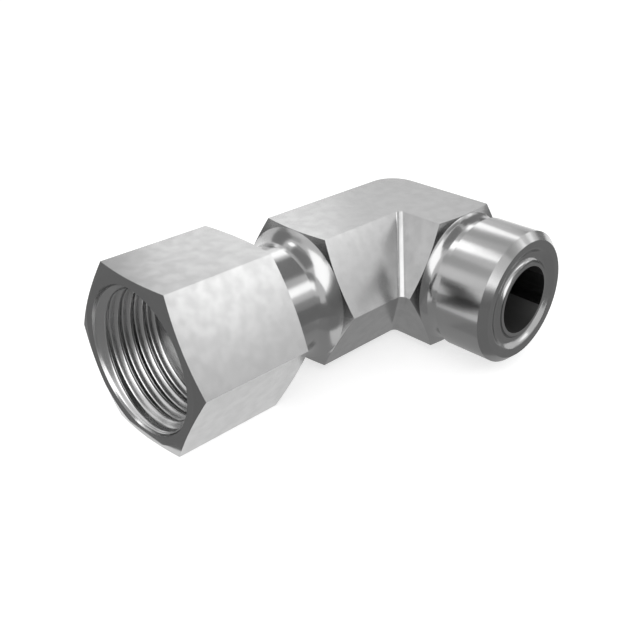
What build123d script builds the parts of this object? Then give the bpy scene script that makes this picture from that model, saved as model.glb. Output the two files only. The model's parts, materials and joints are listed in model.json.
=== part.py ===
"""A 90 degree swivel elbow for hydraulic tube, size 12, with a face seal at each end.

Units are millimetres. The origin is the centre of the male sealing face. The male
end points along +X, the swivel nut along -Y, and both hexagons have a flat on top (+Z).
A distance "along an arm" is counted from the point where the two port axes cross.
"""
from build123d import *
import os
from math import radians, sqrt, tan

# Thread of both ends, 1 3/16 inch: its crests outside, its roots inside
thread_radius = 15.08
male_thread_allowance = 0.02
nut_thread_allowance = 0.12

# Hexagon elbow
body_flats = 30.16              # across flats, 1 3/16 inch
male_arm_flat = 3.15            # how far the hexagon runs on past the inner corner
nut_arm_flat = 15.75
body_end_angle = 17.0           # bevel of the hexagon's ends, from the end plane
bevel_start_inset = 0.06        # every end bevel starts this far inside the flats
bevel_cutter_overhang = 1.1     # the bevels' cutter reaches past the corners by this factor
inner_corner_radius = 1.5
outer_corner_radius = 7.7
flare_slant_share = 1 / 3         # of a flare's length, in which its slanting start would reach the neck

# Male end
undercut_depth = 1.26           # below the land
undercut_flare = 2.6            # length of the sweep from the hexagon in to the undercut
undercut_floor = 2.01
land_length = 12.35             # from the undercut's square shoulder to the sealing face
land_bevel = 1.58
male_bore_radius = 7.7
seal_lip = 0.8                  # wall between the bore and the seal's groove
seal_groove_width = 2.55
seal_groove_depth = 1.35

# Swivel end of the elbow
tail_step = 1.55                # tail's land below the nut's thread bore, on the radius
tail_land_length = 8.28         # turned land that the nut runs on
tail_bevel = 0.3
tail_bore_radius = 7.7
neck_step = 1.4                 # neck below the tail's land, on the radius
neck_flare = 4.5                # length of the sweep from the hexagon in to the neck
neck_length = 14.56             # bare neck, from the hexagon to the nut's rear face

# Swivel nut
nut_wall = 2.2625               # at the flats' middle: 34.925 across flats, 1 3/8 inch
tail_recess = 16.6              # from the nut's front face in to the tail's face
tail_shoulder_inset = 1.6       # from the nut's rear face in to the end of the tail's land
nut_end_angle = 15.0
mouth_lead = 0.33               # how much wider than the thread bore the mouth is
mouth_depth = 1.03
nut_rear_bevel = 0.5

# Split spring ring that keeps the nut on the tail
ring_width = 1.5                # across, on the radius
ring_thickness = 1.6            # along the arm
ring_grip = 0.7                 # how far the sprung ring reaches into the tail's groove
ring_gap_angle = 24.0

# Drilled bores
drill_point_angle = 118.0
drill_overrun = 2.0             # how far each drill's full width runs past the crossing

# Clearances
swivel_clearance = 0.1          # tail in nut, on the radius
step_lead = 0.2                 # nut's inner step ahead of the tail's face
ring_side_clearance = 0.1       # ring in either groove, on each side
ring_running_clearance = 0.3    # ring in the nut's groove, on the radius
ring_closing_clearance = 0.05   # closed ring under the nut's guide bore

# Radii worked out from the sizes above
male_land_radius = thread_radius - male_thread_allowance
undercut_radius = male_land_radius - undercut_depth
nut_bore_radius = thread_radius + nut_thread_allowance
nut_flats = 2 * (nut_bore_radius + nut_wall)
tail_radius = nut_bore_radius - tail_step
neck_radius = tail_radius - neck_step
nut_guide_radius = tail_radius + swivel_clearance
ring_inner = tail_radius - ring_grip
ring_outer = ring_inner + ring_width
tail_groove_floor = nut_guide_radius - ring_width - ring_closing_clearance
nut_groove_floor = ring_outer + ring_running_clearance
foot_radius = body_flats / 2 - bevel_start_inset    # the sweeps start where the end bevels do
seal_groove_inner = male_bore_radius + seal_lip
seal_groove_outer = seal_groove_inner + seal_groove_width

# Distances along the arms, worked out from the sizes above
inner_corner_reach = body_flats / sqrt(3)
male_hexagon_end = inner_corner_reach + male_arm_flat
undercut_end = male_hexagon_end + undercut_flare + undercut_floor
male_reach = undercut_end + land_length
seal_groove_floor = male_reach - seal_groove_depth
nut_hexagon_end = inner_corner_reach + nut_arm_flat
nut_rear = nut_hexagon_end + neck_length
tail_land_start = nut_rear + tail_shoulder_inset
tail_face = tail_land_start + tail_land_length
nut_front = tail_face + tail_recess
ring_start = (tail_land_start + tail_face - ring_thickness) / 2
ring_end = ring_start + ring_thickness

# Each arm's own frame: local Z runs out along the arm, local Y is up
crossing = Vector(-male_reach, 0, 0)
male_arm = Plane(origin=crossing, x_dir=(0, 1, 0), z_dir=(1, 0, 0))
nut_arm = Plane(origin=crossing, x_dir=(1, 0, 0), z_dir=(0, -1, 0))


def hexagon(flats):
    """A hexagon with flats above and below, drawn across an arm."""
    return RegularPolygon(radius=flats / 2, side_count=6, major_radius=False)


def turned(*outline):
    """A solid turned round local Z; the outline's points and edges are (radius, distance along)."""
    return revolve(Plane.XZ * make_face(Curve() + list(outline)), Axis.Z)


def end_bevel(flats, angle, end, inward):
    """What the bevel takes off a hexagon's end; inward is -1 or +1, the way into the metal."""
    inside = flats / 2 - bevel_start_inset
    outside = flats / sqrt(3) * bevel_cutter_overhang
    set_back = (outside - inside) * tan(radians(angle))
    return turned(Polyline((inside, end), (outside, end), (outside, end + inward * set_back), close=True))


def swept_foot(neck, start, flare):
    """The outline of a sweep that leaves the hexagon's end at a slant and runs out along a round neck."""
    slant_end = start + flare * flare_slant_share
    return Bezier((foot_radius, start), (neck, slant_end), (neck, start + flare))


def drilled(radius, mouth):
    """A blind bore from its mouth to a little past the crossing, with the drill's cone at its end."""
    point_length = radius / tan(radians(drill_point_angle / 2))
    point = (0, -drill_overrun - point_length)
    return turned(Polyline(point, (radius, -drill_overrun), (radius, mouth), (0, mouth), close=True))


def square_ring(inner, outer, start, end, arc=360.0):
    """A ring of rectangular section round local Z, as a groove or as a piece."""
    section = Pos((inner + outer) / 2, (start + end) / 2) * Rectangle(outer - inner, end - start)
    return revolve(Plane.XZ * section, Axis.Z, revolution_arc=arc)


def ring_groove(inner, outer):
    """Room for the split ring between two radii, with play on both of its sides."""
    return square_ring(inner, outer, ring_start - ring_side_clearance, ring_end + ring_side_clearance)


def hexagon_elbow():
    """The mitred hexagon with its rounded corners, made as an upper half and mirrored."""
    path_start = crossing + Vector(0, -nut_hexagon_end, 0)
    path_end = crossing + Vector(male_hexagon_end, 0, 0)
    section = Plane(origin=path_start, x_dir=(1, 0, 0), z_dir=(0, 1, 0)) * hexagon(body_flats)
    bar = sweep(section, path=Polyline(path_start, crossing, path_end), transition=Transition.RIGHT)
    half = split(bar.clean(), bisect_by=Plane.XY, keep=Keep.TOP)

    def on_mitre(edge):
        """True for the mitre's edges that slope from the top flat down to mid height."""
        place = edge.center() - crossing
        near = body_flats / 1000
        return abs(place.X + place.Y) < near and abs(place.Z - body_flats / 4) < near

    outer_edge = half.edges().filter_by(on_mitre).sort_by(Axis.X)[0]
    half = fillet(outer_edge, outer_corner_radius)
    inner_edge = half.edges().filter_by(on_mitre).sort_by(Axis.X)[-1]
    half = fillet(inner_edge, inner_corner_radius)
    elbow = half + mirror(half, about=Plane.XY)
    elbow -= male_arm * end_bevel(body_flats, body_end_angle, male_hexagon_end, -1)
    elbow -= nut_arm * end_bevel(body_flats, body_end_angle, nut_hexagon_end, -1)
    return elbow


def male_end():
    """Undercut, land and bevel, with the swept foot that meets the hexagon."""
    return turned(
        Polyline((0, male_hexagon_end), (foot_radius, male_hexagon_end)),
        swept_foot(undercut_radius, male_hexagon_end, undercut_flare),
        Polyline(
            (undercut_radius, male_hexagon_end + undercut_flare),
            (undercut_radius, undercut_end),
            (male_land_radius, undercut_end),
            (male_land_radius, male_reach - land_bevel),
            (male_land_radius - land_bevel, male_reach),
            (0, male_reach),
            (0, male_hexagon_end),
        ),
    )


def tail():
    """Neck, shoulder and the land that the nut runs on, up to the flat sealing face."""
    return turned(
        Polyline((0, nut_hexagon_end), (foot_radius, nut_hexagon_end)),
        swept_foot(neck_radius, nut_hexagon_end, neck_flare),
        Polyline(
            (neck_radius, nut_hexagon_end + neck_flare),
            (neck_radius, tail_land_start),
            (tail_radius, tail_land_start),
            (tail_radius, tail_face - tail_bevel),
            (tail_radius - tail_bevel, tail_face),
            (0, tail_face),
            (0, nut_hexagon_end),
        ),
    )


def elbow_body():
    """The elbow, one piece of steel from the male face to the tail's face."""
    body = hexagon_elbow() + male_arm * male_end() + nut_arm * tail()
    body -= male_arm * drilled(male_bore_radius, male_reach)
    body -= nut_arm * drilled(tail_bore_radius, tail_face)
    body -= male_arm * square_ring(seal_groove_inner, seal_groove_outer, seal_groove_floor, male_reach)
    body -= nut_arm * ring_groove(tail_groove_floor, nut_guide_radius)
    return body


def swivel_nut():
    """The hexagon nut: thread bore in front, guide bore with the split ring's groove behind."""
    nut = Pos(0, 0, nut_rear) * extrude(hexagon(nut_flats), nut_front - nut_rear)
    nut -= end_bevel(nut_flats, nut_end_angle, nut_front, -1)
    nut -= end_bevel(nut_flats, nut_end_angle, nut_rear, 1)
    step = tail_face + step_lead
    nut -= turned(
        Polyline(
            (0, nut_rear),
            (nut_guide_radius + nut_rear_bevel, nut_rear),
            (nut_guide_radius, nut_rear + nut_rear_bevel),
            (nut_guide_radius, step),
            (nut_bore_radius, step),
            (nut_bore_radius, nut_front - mouth_depth),
            (nut_bore_radius + mouth_lead, nut_front),
            (0, nut_front),
            close=True,
        )
    )
    nut -= ring_groove(tail_radius, nut_groove_floor)
    return nut_arm * nut


def retaining_ring():
    """The split ring, sprung out so that it lies half in the tail and half in the nut."""
    ring = square_ring(ring_inner, ring_outer, ring_start, ring_end, 360 - ring_gap_angle)
    return nut_arm * ring


os.makedirs("parts", exist_ok=True)
for name, solid in {
    "elbow_body": elbow_body(),
    "swivel_nut": swivel_nut(),
    "retaining_ring": retaining_ring(),
}.items():
    export_step(solid, f"parts/{name}.step")
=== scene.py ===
"""The looks of a 90 degree swivel elbow with face seal ends: bright plated steel in a plain photo studio.

Metres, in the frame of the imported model: the origin is the middle of the male sealing face, the
male end points along +X, the swivel nut along -Y, and both hexagons have a flat on top.
"""
import json
from math import cos, pi, radians, sin, sqrt, tan
import bpy
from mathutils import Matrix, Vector
from mathutils.kdtree import KDTree


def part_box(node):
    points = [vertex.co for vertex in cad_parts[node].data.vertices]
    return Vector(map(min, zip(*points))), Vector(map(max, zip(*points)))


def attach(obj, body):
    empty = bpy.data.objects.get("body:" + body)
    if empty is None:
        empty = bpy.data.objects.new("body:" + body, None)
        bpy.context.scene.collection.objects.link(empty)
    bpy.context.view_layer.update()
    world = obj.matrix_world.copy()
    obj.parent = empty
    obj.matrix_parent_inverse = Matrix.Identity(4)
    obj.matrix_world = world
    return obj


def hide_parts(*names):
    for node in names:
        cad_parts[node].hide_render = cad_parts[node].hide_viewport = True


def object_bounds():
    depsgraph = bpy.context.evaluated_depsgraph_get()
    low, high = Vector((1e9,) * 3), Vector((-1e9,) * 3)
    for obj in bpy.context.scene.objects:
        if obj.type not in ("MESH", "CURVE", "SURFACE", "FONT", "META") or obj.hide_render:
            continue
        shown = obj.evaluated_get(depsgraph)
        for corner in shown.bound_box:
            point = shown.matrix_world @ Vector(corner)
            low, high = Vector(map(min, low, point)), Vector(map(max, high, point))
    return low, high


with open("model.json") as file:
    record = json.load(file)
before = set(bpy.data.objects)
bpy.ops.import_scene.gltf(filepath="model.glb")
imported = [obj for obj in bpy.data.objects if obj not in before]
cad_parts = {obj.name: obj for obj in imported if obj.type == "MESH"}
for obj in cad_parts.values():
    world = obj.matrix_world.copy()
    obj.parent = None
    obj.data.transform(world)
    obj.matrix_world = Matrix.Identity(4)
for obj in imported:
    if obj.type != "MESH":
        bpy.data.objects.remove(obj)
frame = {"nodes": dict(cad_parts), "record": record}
cad_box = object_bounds()

MM = 0.001
nodes = frame["nodes"]
mounts = {mount["name"]: mount for mount in frame["record"]["mounts"]}

# Places and sizes read from the frame
nut_low, nut_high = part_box("swivel_nut")
crossing_x = (nut_low.x + nut_high.x) / 2
nut_front = nut_low.y
floor_z = nut_low.z
thread_radius = mounts["nut_thread"]["dims"]["r_mm"] * MM
bore_radius = mounts["male_bore"]["dims"]["r_mm"] * MM
land_radius = mounts["male_land"]["dims"]["r_mm"] * MM
tail_face = mounts["tail_bore"]["pos_m"][1]
crossing = Vector((crossing_x, 0, 0))
middle = (cad_box[0] + cad_box[1]) / 2

# Thread of the swivel nut: one rounded ridge that winds round the bore, right-handed
THREAD_PITCH = 3.0 * MM
THREAD_HEIGHT = 1.35 * MM
THREAD_FOOT = 2.9 * MM
THREAD_SINK = 0.06 * MM          # how far the ridge's foot goes into the wall
THREAD_WALL_ANGLE = 205          # on this side of the bore, from +X towards +Z
THREAD_WALL_DEPTH = 1.7 * MM     # the first whole crest lies this deep in the nut
THREAD_RUN_IN = 0.38             # of a turn, over which the ridge grows out of the wall
THREAD_STEPS = 96                # a turn
THREAD_POINTS = 14               # round the section
THREAD_FIRST = 0.6 * MM          # from the nut's front face to the ridge's first tip
THREAD_STOP = 1.0 * MM           # from the ridge's last tip to the tail's face
THREAD_TIP = 0.002               # the section's share of its full size at a tip

# Seal groove in the male face: a rounded channel, its depth at each radius
GROOVE_DEPTH = 1.1 * MM
GROOVE_MIDDLE = 10.0 * MM
GROOVE_LIP = 8.45 * MM
GROOVE_RIM = 12.0 * MM
GROOVE_EDGE = 0.05 * MM          # narrow flat rings keep both rims of the channel crisp
GROOVE_LIP_EDGE = 0.06 * MM
GROOVE_RINGS = 10                # on each side of the channel's middle
GROOVE_LIP_POWER = 2.4           # the inner wall is steeper than a circle's
CAD_GROOVE_DEPTH = 1.4 * MM      # just over the depth of the groove that is cut out

# What counts as the same place in a mesh
MERGED = 0.001 * MM
SAME_FACE = 0.003 * MM
SAME_PLACE = 0.01 * MM
SAME_RADIUS = 0.02 * MM

# How a face lies, from its normal's share along an arm
ALONG_ARM = 0.1                  # below this it runs along the arm
ACROSS_ARM = 0.9                 # above this it faces along the arm
FINISH_EDGE = 0.2 * MM           # how far a finish may reach past its own edge
OUTSIDE_FROM = 1.2 * MM          # outside the thread's radius: the nut's flats from here on
THREAD_UP_TO = 0.5 * MM          # and its threaded bore up to here

# Camera, as it stood for the photograph
CAMERA_EYE = Vector((83.73, -146.08, 83.22)) * MM
CAMERA_AZIMUTH = radians(45.08)
CAMERA_ELEVATION = radians(28.498)
CAMERA_LENS = 47.34              # for a sensor 36 wide

# The set: everything stands this far from the part
SET_DISTANCE = 0.6
LAMP_SHARE = 0.95                # lamps hang a little nearer, in front of the flags
FLOOR_SIZE = 12.0
FLOOR_LIFT = 0.6                 # what the floor adds to its own colour where it is seen
WORLD_LEVEL = 0.55               # light of the world on matt surfaces


def deselect_all():
    """Nothing selected, so that the next operator acts on its own piece alone."""
    if bpy.context.object and bpy.context.object.mode != "OBJECT":
        bpy.ops.object.mode_set(mode="OBJECT")
    bpy.ops.object.select_all(action="DESELECT")


def pick(piece):
    """Makes a piece the only selected and active one."""
    deselect_all()
    piece.select_set(True)
    bpy.context.view_layer.objects.active = piece


def linear(colour):
    """An sRGB hex colour as linear RGBA."""
    parts = [int(colour[i:i + 2], 16) / 255 for i in (1, 3, 5)]
    return [c / 12.92 if c <= 0.04045 else ((c + 0.055) / 1.055) ** 2.4 for c in parts] + [1.0]


def add_node(tree, kind, settings=None, inputs=None):
    """Adds a shader node with its own settings; each input is a value or the output that feeds it."""
    node = tree.nodes.new("ShaderNode" + kind)
    for name, value in (settings or {}).items():
        setattr(node, name, value)
    for socket, value in (inputs or {}).items():
        if isinstance(value, bpy.types.NodeSocket):
            tree.links.new(value, node.inputs[socket])
        else:
            node.inputs[socket].default_value = value
    return node


def off_male_axis(place):
    """Distance of a place from the male arm's axis."""
    return sqrt(place.y ** 2 + place.z ** 2)


def off_nut_axis(place):
    """Distance of a place from the nut arm's axis."""
    return sqrt((place.x - crossing_x) ** 2 + place.z ** 2)


def new_material(name):
    """An empty node material and its output node."""
    material = bpy.data.materials.new(name)
    material.use_nodes = True
    material.node_tree.nodes.clear()
    return material, material.node_tree, add_node(material.node_tree, "OutputMaterial")


def steel_surface(name, colour, rough, height, relief):
    """Plated steel: colour pair, roughness pair, and what makes them wander and the surface rise."""
    material, tree, output = new_material(name)
    pattern = height(tree)
    tint = add_node(tree, "Mix", {"data_type": "RGBA"},
                    {0: pattern["cloud"], 6: linear(colour[0]), 7: linear(colour[1])})
    roughness = add_node(tree, "MapRange", {}, {0: pattern["cloud"], 3: rough[0], 4: rough[1]})
    bump = add_node(tree, "Bump", {}, {"Height": pattern["relief"], "Distance": relief, "Strength": 1.0})
    shader = add_node(tree, "BsdfPrincipled", {}, {
        "Base Color": tint.outputs[2],
        "Metallic": 1.0,
        "Roughness": roughness.outputs[0],
        "Normal": bump.outputs[0],
    })
    tree.links.new(shader.outputs[0], output.inputs[0])
    return material


def drawn_flat(axis):
    """Pattern of a drawn hexagon bar: faint lines along the bar over a cloudy plating."""
    line_width, line_length, cloud_size = 0.35 * MM, 30 * MM, 2.6 * MM
    line_share = 0.12               # of the clouds' height
    squeeze = [1 / line_width] * 3
    squeeze[axis] = 1 / line_length

    def build(tree):
        place = add_node(tree, "TexCoord").outputs["Object"]
        stretched = add_node(tree, "Mapping", {"vector_type": "POINT"}, {"Vector": place, "Scale": squeeze})
        lines = add_node(tree, "TexNoise", {},
                         {"Vector": stretched.outputs[0], "Scale": 1.0, "Detail": 2.0})
        cloud = add_node(tree, "TexNoise", {}, {"Vector": place, "Scale": 1 / cloud_size, "Detail": 1.0})
        sharper = add_node(tree, "MapRange", {"interpolation_type": "SMOOTHSTEP"},
                           {0: cloud.outputs[0], 1: 0.25, 2: 0.75})
        relief = add_node(tree, "Math", {"operation": "MULTIPLY_ADD"},
                          {0: lines.outputs[0], 1: line_share, 2: cloud.outputs[0]})
        return {"cloud": sharper.outputs[0], "relief": relief.outputs[0]}

    return build


def turned(axis):
    """Pattern of lathe work round one arm: fine rings on cylinders, cones and faces alike."""
    ring_width, cloud_size = 0.45 * MM, 5.0 * MM
    along = [0.0, 0.0, 0.0]
    along[axis] = 1.0
    across = [1.0 - a for a in along]

    def build(tree):
        place = add_node(tree, "TexCoord").outputs["Object"]
        offset = add_node(tree, "VectorMath", {"operation": "SUBTRACT"}, {0: place, 1: crossing})
        length = add_node(tree, "VectorMath", {"operation": "DOT_PRODUCT"},
                          {0: offset.outputs[0], 1: along})
        flat = add_node(tree, "VectorMath", {"operation": "MULTIPLY"}, {0: offset.outputs[0], 1: across})
        radius = add_node(tree, "VectorMath", {"operation": "LENGTH"}, {0: flat.outputs[0]})
        travel = add_node(tree, "Math", {"operation": "ADD"}, {0: length.outputs[1], 1: radius.outputs[1]})
        rings = add_node(tree, "TexNoise", {"noise_dimensions": "1D"},
                         {"W": travel.outputs[0], "Scale": 1 / ring_width, "Detail": 2.0})
        cloud = add_node(tree, "TexNoise", {}, {"Vector": place, "Scale": 1 / cloud_size, "Detail": 2.0})
        return {"cloud": cloud.outputs[0], "relief": rings.outputs[0]}

    return build


X_AXIS, Y_AXIS = 0, 1
materials = {
    # Drawn bar keeps its mill lines under the plating: soft, cloudy reflections on the flats
    "flat_male": steel_surface("plated_steel_drawn_male_arm", ("#b3b3b3", "#acacac"), (0.20, 0.23),
                               drawn_flat(X_AXIS), 0.002 * MM),
    "flat_nut": steel_surface("plated_steel_drawn_nut_arm", ("#b3b3b3", "#acacac"), (0.20, 0.23),
                              drawn_flat(Y_AXIS), 0.002 * MM),
    # Turned ends are smoother than the bar: crisp streaks along the necks and the land
    "turned_male": steel_surface("plated_steel_turned_male_arm", ("#b0b0b0", "#aaaaaa"), (0.16, 0.20),
                                 turned(X_AXIS), 0.001 * MM),
    "turned_nut": steel_surface("plated_steel_turned_nut_arm", ("#b0b0b0", "#aaaaaa"), (0.16, 0.20),
                                turned(Y_AXIS), 0.001 * MM),
    # Painted highlight: the thread's ridges are the same plating as the turned ends, painted paler so that
    # they look brighter, and a little rougher
    "threaded_painted_highlight": steel_surface("plated_steel_threaded_painted_highlight", ("#cccccc", "#c4c4c4"), (0.22, 0.26),
                              turned(Y_AXIS), 0.001 * MM),
    # Painted shade: the bores are painted darker than the plating to stand in for the shade deep inside
    # them; their dull, rough finish is that of drilled steel
    "drilled_painted_shade": steel_surface("drilled_steel_painted_shade", ("#747474", "#686868"), (0.45, 0.55),
                             turned(X_AXIS), 0.002 * MM),
    # The ring is hidden in its grooves: dark spring steel with an oil film
    "spring": steel_surface("spring_steel", ("#7b7d80", "#73757a"), (0.25, 0.32),
                            turned(Y_AXIS), 0.001 * MM),
}


def finish_of(node, middle_point, normal):
    """Which finish a face of a CAD node has, from its place and the way it looks."""
    male_radius, nut_radius = off_male_axis(middle_point), off_nut_axis(middle_point)
    if node == "swivel_nut":
        if abs(normal.y) < ALONG_ARM and nut_radius > thread_radius + OUTSIDE_FROM:
            return "flat_nut"
        in_thread = abs(normal.y) < ACROSS_ARM and nut_radius < thread_radius + THREAD_UP_TO
        # inside the thread: the plating painted paler, a painted highlight
        return "threaded_painted_highlight" if in_thread else "turned_nut"
    in_bore = min(male_radius, nut_radius) < bore_radius + FINISH_EDGE
    # bores: rough drilled finish, painted darker as painted shade
    if in_bore and abs(normal.x) < ACROSS_ARM and abs(normal.y) < ACROSS_ARM:
        return "drilled_painted_shade"
    on_male_arm = middle_point.x > male_hexagon_end - FINISH_EDGE or normal.x > ACROSS_ARM
    on_nut_arm = middle_point.y < nut_hexagon_end + FINISH_EDGE or normal.y < -ACROSS_ARM
    if on_male_arm:
        return "turned_male"
    if on_nut_arm:
        return "turned_nut"
    return "flat_male" if middle_point.x - crossing_x > -middle_point.y else "flat_nut"


def dress(piece, node):
    """Gives every face of a piece the finish that the named node has at that place."""
    piece.data.materials.clear()
    slots = {}
    for face in piece.data.polygons:
        name = finish_of(node, face.center, face.normal)
        if name not in slots:
            slots[name] = len(slots)
            piece.data.materials.append(materials[name])
        face.material_index = slots[name]


# Where the hexagon ends on each arm, read from the elbow's widest corners
HEXAGON_MARGIN = 1.0 * MM        # only the hexagon's corners reach this far past the land
corners = [v.co for v in nodes["elbow_body"].data.vertices]
male_hexagon_end = max(c.x for c in corners if off_male_axis(c) > land_radius + HEXAGON_MARGIN)
nut_hexagon_end = min(c.y for c in corners if abs(c.x - crossing_x) > land_radius + HEXAGON_MARGIN)

dress(nodes["elbow_body"], "elbow_body")
dress(nodes["swivel_nut"], "swivel_nut")
nodes["retaining_ring"].data.materials.clear()
nodes["retaining_ring"].data.materials.append(materials["spring"])


def smooth_and_checked(piece, angle):
    """Normals outwards, and smooth shading up to the given angle."""
    pick(piece)
    bpy.ops.object.mode_set(mode="EDIT")
    bpy.ops.mesh.select_all(action="SELECT")
    bpy.ops.mesh.normals_make_consistent(inside=False)
    bpy.ops.object.mode_set(mode="OBJECT")
    bpy.ops.object.shade_smooth_by_angle(angle=radians(angle))


def nut_thread():
    """The nut's internal thread: a rounded section wound round the bore.

    Its points come from a formula, because the section also has to grow out of the wall at both
    ends, which spinning one section along a helix can't do.
    """
    first = THREAD_FIRST
    last = tail_face - nut_front - THREAD_STOP
    turns = (last - first) / THREAD_PITCH
    steps = round(turns * THREAD_STEPS)
    start_angle = radians(THREAD_WALL_ANGLE) + 2 * pi * (THREAD_WALL_DEPTH - first) / THREAD_PITCH
    shares = [i / THREAD_POINTS for i in range(THREAD_POINTS + 1)]
    section = [(0.5 - 0.5 * cos(2 * pi * share), share - 0.5) for share in shares]
    points, faces = [], []
    for step in range(steps + 1):
        turn = step / THREAD_STEPS
        grown = max(THREAD_TIP, min(1.0, turn / THREAD_RUN_IN, (turns - turn) / THREAD_RUN_IN))
        angle = start_angle - 2 * pi * turn
        for rise, shift in section:
            radius = thread_radius + THREAD_SINK - rise * (THREAD_HEIGHT + THREAD_SINK) * grown
            y = nut_front + first + THREAD_PITCH * turn + THREAD_FOOT * shift * grown
            points.append((crossing_x + radius * cos(angle), y, radius * sin(angle)))
    ring = len(section)
    for step in range(steps):
        for side in range(ring):
            a, b = step * ring + side, step * ring + (side + 1) % ring
            faces.append((a, b, b + ring, a + ring))
    faces.append(tuple(range(ring)))
    faces.append(tuple(reversed(range(steps * ring, steps * ring + ring))))
    mesh = bpy.data.meshes.new("nut_thread")
    mesh.from_pydata(points, [], faces)
    mesh.update()
    piece = bpy.data.objects.new("nut_thread", mesh)
    bpy.context.scene.collection.objects.link(piece)
    smooth_and_checked(piece, 50)
    # the plating painted paler for the thread, a painted highlight
    piece.data.materials.append(materials["threaded_painted_highlight"])
    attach(piece, "nut")


def groove_depth_at(radius):
    """How deep the seal groove's rounded channel lies below the male face at a radius."""
    if radius >= GROOVE_MIDDLE:
        share = (radius - GROOVE_MIDDLE) / (GROOVE_RIM - GROOVE_MIDDLE)
        return GROOVE_DEPTH * (0.5 + 0.5 * cos(pi * min(share, 1.0)))
    share = (GROOVE_MIDDLE - radius) / (GROOVE_MIDDLE - GROOVE_LIP)
    return GROOVE_DEPTH * sqrt(max(0.0, 1 - share ** GROOVE_LIP_POWER))


def groove_radii():
    """The rings that draw the channel, from the rim inwards; they crowd at the steep inner lip."""
    steps = [i / GROOVE_RINGS for i in range(1, GROOVE_RINGS + 1)]
    radii = [GROOVE_RIM + GROOVE_EDGE, GROOVE_RIM]
    radii += [GROOVE_RIM + (GROOVE_MIDDLE - GROOVE_RIM) * step for step in steps]
    radii += [GROOVE_MIDDLE + (GROOVE_LIP - GROOVE_MIDDLE) * sin(pi / 2 * step) for step in steps]
    return radii + [GROOVE_LIP - GROOVE_LIP_EDGE]


def rim_edges(piece, radius):
    """The edges of the male face that lie on a circle of the given radius."""
    found = []
    for edge in piece.data.edges:
        ends = [piece.data.vertices[i].co for i in edge.vertices]
        on_circle = all(abs(off_male_axis(end) - radius) < SAME_RADIUS for end in ends)
        if on_circle and all(abs(end.x) < SAME_PLACE for end in ends):
            found.append(edge)
    return found


def merged_copy(node, name):
    """A copy of a CAD node in which the loose triangles share their corners."""
    piece = node.copy()
    piece.data = node.data.copy()
    piece.name = piece.data.name = name
    bpy.context.scene.collection.objects.link(piece)
    pick(piece)
    bpy.ops.mesh.customdata_custom_splitnormals_clear()
    bpy.ops.object.mode_set(mode="EDIT")
    bpy.ops.mesh.select_all(action="SELECT")
    bpy.ops.mesh.remove_doubles(threshold=MERGED)
    bpy.ops.mesh.select_all(action="DESELECT")
    bpy.ops.object.mode_set(mode="OBJECT")
    return piece


def keep_true_normals(piece, node):
    """Faces that a merged copy shares with its node get back the node's own smooth normals."""
    old, new = node.data, piece.data
    places = KDTree(len(old.polygons))
    for face in old.polygons:
        places.insert(face.center, face.index)
    places.balance()
    normals = [corner.vector.copy() for corner in new.corner_normals]
    for face in new.polygons:
        _, index, distance = places.find(face.center)
        if distance > SAME_FACE:
            continue
        loops = old.polygons[index].loop_indices
        corners = [(old.vertices[old.loops[i].vertex_index].co, i) for i in loops]
        for i in face.loop_indices:
            place = new.vertices[new.loops[i].vertex_index].co
            match = min(corners, key=lambda corner: (corner[0] - place).length)[1]
            normals[i] = old.corner_normals[match].vector.copy()
    new.normals_split_custom_set(normals)


def cut_out_face(piece):
    """Takes out the male face with its groove, between bevel and bore; gives the bevel's radius."""
    front = [v.co for v in piece.data.vertices if v.co.x > -SAME_PLACE]
    outer = max(off_male_axis(place) for place in front)
    for face in piece.data.polygons:
        places = [piece.data.vertices[i].co for i in face.vertices]
        radii = [off_male_axis(place) for place in places]
        in_ring = bore_radius - SAME_PLACE < min(radii) and max(radii) < outer + SAME_PLACE
        face.select = in_ring and min(place.x for place in places) > -CAD_GROOVE_DEPTH
    bpy.ops.object.mode_set(mode="EDIT")
    bpy.ops.mesh.select_mode(type="FACE")
    bpy.ops.mesh.delete(type="FACE")
    bpy.ops.mesh.select_mode(type="EDGE")
    bpy.ops.object.mode_set(mode="OBJECT")
    return outer


def draw_groove(piece, outer):
    """Extrudes the face inwards from the bevel, ring by ring, and bridges it to the bore."""
    for edge in rim_edges(piece, outer):
        edge.select = True
    bpy.ops.object.mode_set(mode="EDIT")
    radius, depth = outer, 0.0
    for wanted in groove_radii():
        bpy.ops.mesh.extrude_edges_move(TRANSFORM_OT_translate={"value": (0, 0, 0)})
        scale = wanted / radius
        bpy.ops.transform.resize(value=(1, scale, scale), center_override=(0, 0, 0))
        bpy.ops.transform.translate(value=(depth - groove_depth_at(wanted), 0, 0))
        radius, depth = wanted, groove_depth_at(wanted)
    bpy.ops.mesh.select_all(action="DESELECT")
    bpy.ops.object.mode_set(mode="OBJECT")
    for edge in rim_edges(piece, radius) + rim_edges(piece, bore_radius):
        edge.select = True
    bpy.ops.object.mode_set(mode="EDIT")
    bpy.ops.mesh.bridge_edge_loops()
    bpy.ops.mesh.select_mode(type="VERT")
    bpy.ops.object.mode_set(mode="OBJECT")


def elbow_with_round_groove():
    """The elbow with its seal groove as the rounded channel that the photo shows."""
    node = nodes["elbow_body"]
    piece = merged_copy(node, "elbow_turned")
    draw_groove(piece, cut_out_face(piece))
    smooth_and_checked(piece, 30)
    keep_true_normals(piece, node)
    dress(piece, "elbow_body")
    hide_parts("elbow_body")
    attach(piece, "elbow")


elbow_with_round_groove()
nut_thread()


def toward(azimuth, elevation):
    """The direction from the part to a place in the set; azimuth 0 is +X and 90 is +Y, in degrees."""
    a, e = radians(azimuth), radians(elevation)
    return Vector((cos(a) * cos(e), sin(a) * cos(e), sin(e)))


def seen_size(angle):
    """How large a thing in the set is that the part sees at the given angle, in degrees."""
    return 2 * SET_DISTANCE * tan(radians(angle / 2))


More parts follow.
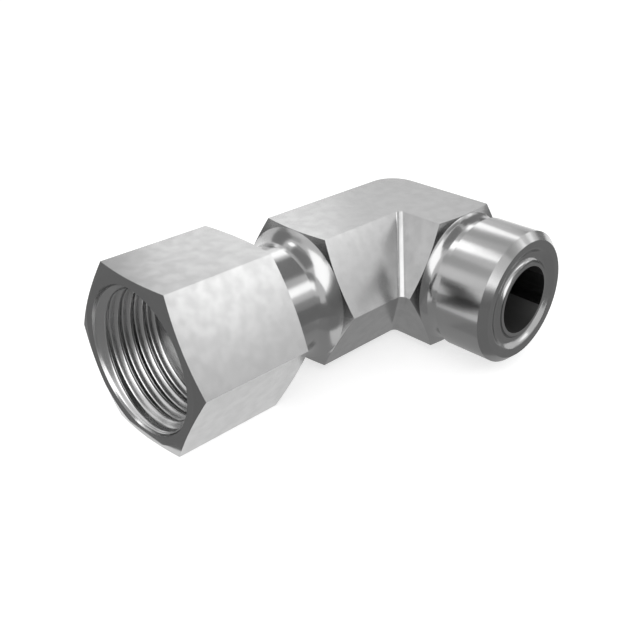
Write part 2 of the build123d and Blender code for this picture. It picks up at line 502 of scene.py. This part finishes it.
def glow(name, level):
    """A card's colour: an even grey that needs no light on it."""
    material, tree, output = new_material(name)
    shader = add_node(tree, "Emission", {}, {"Color": (level, level, level, 1.0), "Strength": 1.0})
    tree.links.new(shader.outputs[0], output.inputs[0])
    return material


def only_reflected(piece):
    """Sets a card up so that the metal reflects it, and nothing else sees it or is shaded by it."""
    piece.visible_camera = piece.visible_diffuse = piece.visible_shadow = False


def card(name, azimuth, elevation, width, height, level):
    """A grey card that only reflections see, as photographers set round bright metal; in degrees."""
    way = toward(azimuth, elevation)
    deselect_all()
    bpy.ops.mesh.primitive_plane_add(size=1, location=middle + way * SET_DISTANCE,
                                     rotation=(-way).to_track_quat("-Z", "Y").to_euler())
    piece = bpy.context.object
    piece.name = name
    piece.scale = (seen_size(width), seen_size(height), 1)
    piece.data.materials.append(glow(name, level))
    only_reflected(piece)


def softbox(name, azimuth, elevation, width, height, level):
    """An area lamp facing the part; level 1 is white, sizes in degrees as the part sees them."""
    way = toward(azimuth, elevation)
    data = bpy.data.lights.new(name, "AREA")
    data.shape = "RECTANGLE"
    data.size = seen_size(width)
    data.size_y = seen_size(height)
    data.energy = level * pi * data.size * data.size_y
    lamp = bpy.data.objects.new(name, data)
    lamp.location = middle + way * SET_DISTANCE * LAMP_SHARE
    lamp.rotation_euler = way.to_track_quat("Z", "Y").to_euler()
    lamp.visible_camera = False
    bpy.context.scene.collection.objects.link(lamp)


# The softboxes add to the white of the set: their names say where they stand, seen from the camera
softbox("lamp_back_right", 39, 29, 20, 13, 1.5)
softbox("lamp_right", 67, 27, 8, 9, 1.0)
softbox("lamp_back_left", 131, 38, 14, 13, 1.5)
softbox("lamp_left", 143, 25, 16, 9, 0.6)
softbox("lamp_top", -168, 58, 15, 10, 1.9)
softbox("lamp_front_left", -126, 25, 11, 12, 0.2)
softbox("lamp_over_camera", -53, 39, 64, 42, 1.35)

# Grey flags shape the reflections, so that edges and faces stand out from the white
card("flag_ceiling", 90, 89, 50, 50, 0.36)
card("flag_back_high", 86, 50, 38, 17, 0.32)
card("flag_right_high", 30, 47, 26, 16, 0.42)
card("flag_left_high", 143, 54, 16, 10, 0.68)
card("flag_front_high", -134, 42, 16, 14, 0.66)
card("flag_right_low", 84, 9, 16, 15, 0.3)
card("flag_back", 97, 25, 36, 34, 0.34)
card("flag_front_left", -174, 31, 54, 30, 0.34)
card("flag_front_top", -122, 69, 24, 12, 0.5)
card("flag_far_right_low", 38, 2, 34, 18, 0.45)
card("flag_front_low", -122, 2, 50, 18, 0.45)
card("flag_near_right_low", -50, 0, 84, 22, 0.3)
card("flag_left_low", 130, 5, 50, 26, 0.8)


def floor_card(name, low, high, level):
    """A grey card lying on the floor, between two corners given as (x, y)."""
    centre = ((low[0] + high[0]) / 2, (low[1] + high[1]) / 2, floor_z + CARD_RISE)
    deselect_all()
    bpy.ops.mesh.primitive_plane_add(size=1, location=centre)
    piece = bpy.context.object
    piece.name = name
    piece.scale = (high[0] - low[0], high[1] - low[1], 1)
    piece.data.materials.append(glow(name, level))
    only_reflected(piece)


CARD_RISE = 0.3 * MM             # over the floor
FLAG_REACH = 0.55
NEAR = 0.5 * MM                  # how near the cards on the floor come to the part
front = nut_front - NEAR
left, inside, right = nut_low.x - NEAR, nut_high.x + NEAR, NEAR
floor_card("flag_floor_front", (-FLAG_REACH, nut_front - FLAG_REACH), (FLAG_REACH, front), 0.24)
floor_card("flag_floor_left", (-FLAG_REACH, front), (left, nut_front + 22 * MM), 0.26)
floor_card("flag_floor_right", (right, front), (FLAG_REACH, 0.3), 0.27)
floor_card("flag_floor_under", (left, nut_front + 36 * MM), (right, 20 * MM), 0.42)
floor_card("flag_floor_inside", (inside, front), (right, -20 * MM), 0.32)


def where_seen(tree):
    """1 where the camera, a reflection or a view through glass sees a thing, and 0 for other light."""
    path = add_node(tree, "LightPath")
    seen = path.outputs["Is Camera Ray"]
    for ray in ("Is Glossy Ray", "Is Transmission Ray"):
        seen = add_node(tree, "Math", {"operation": "MAXIMUM"}, {0: seen, 1: path.outputs[ray]}).outputs[0]
    return seen


def make_floor():
    """A pale matt floor that ends white and keeps the part's soft shadow."""
    deselect_all()
    bpy.ops.mesh.primitive_plane_add(size=FLOOR_SIZE, location=(0, 0, floor_z))
    piece = bpy.context.object
    piece.name = "floor"
    material, tree, output = new_material("matt_white_floor")
    matt = add_node(tree, "BsdfDiffuse", {}, {"Color": linear("#e4e4e4")})
    lift = add_node(tree, "Emission", {}, {"Color": [FLOOR_LIFT] * 3 + [1.0], "Strength": where_seen(tree)})
    both = add_node(tree, "AddShader", {}, {0: matt.outputs[0], 1: lift.outputs[0]})
    tree.links.new(both.outputs[0], output.inputs[0])
    piece.data.materials.append(material)


def make_world():
    """White where it is seen, straight or in the metal, and a plain level of light elsewhere."""
    world = bpy.data.worlds.new("studio")
    bpy.context.scene.world = world
    world.use_nodes = True
    tree = world.node_tree
    tree.nodes.clear()
    strength = add_node(tree, "MapRange", {}, {0: where_seen(tree), 3: WORLD_LEVEL, 4: 1.0})
    back = add_node(tree, "Background", {}, {"Color": linear("#ffffff"), "Strength": strength.outputs[0]})
    add_node(tree, "OutputWorld", {}, {0: back.outputs[0]})


def make_camera():
    """The photograph's viewpoint, worked out from the hexagons' corners."""
    data = bpy.data.cameras.new("camera")
    data.lens = CAMERA_LENS
    data.sensor_width = 36
    data.clip_start, data.clip_end = 10 * MM, 30
    camera = bpy.data.objects.new("camera", data)
    camera.location = CAMERA_EYE
    camera.rotation_euler = (pi / 2 - CAMERA_ELEVATION, 0, CAMERA_AZIMUTH)
    bpy.context.scene.collection.objects.link(camera)
    bpy.context.scene.camera = camera


make_floor()
make_world()
make_camera()
bpy.context.scene.view_settings.view_transform = "Standard"
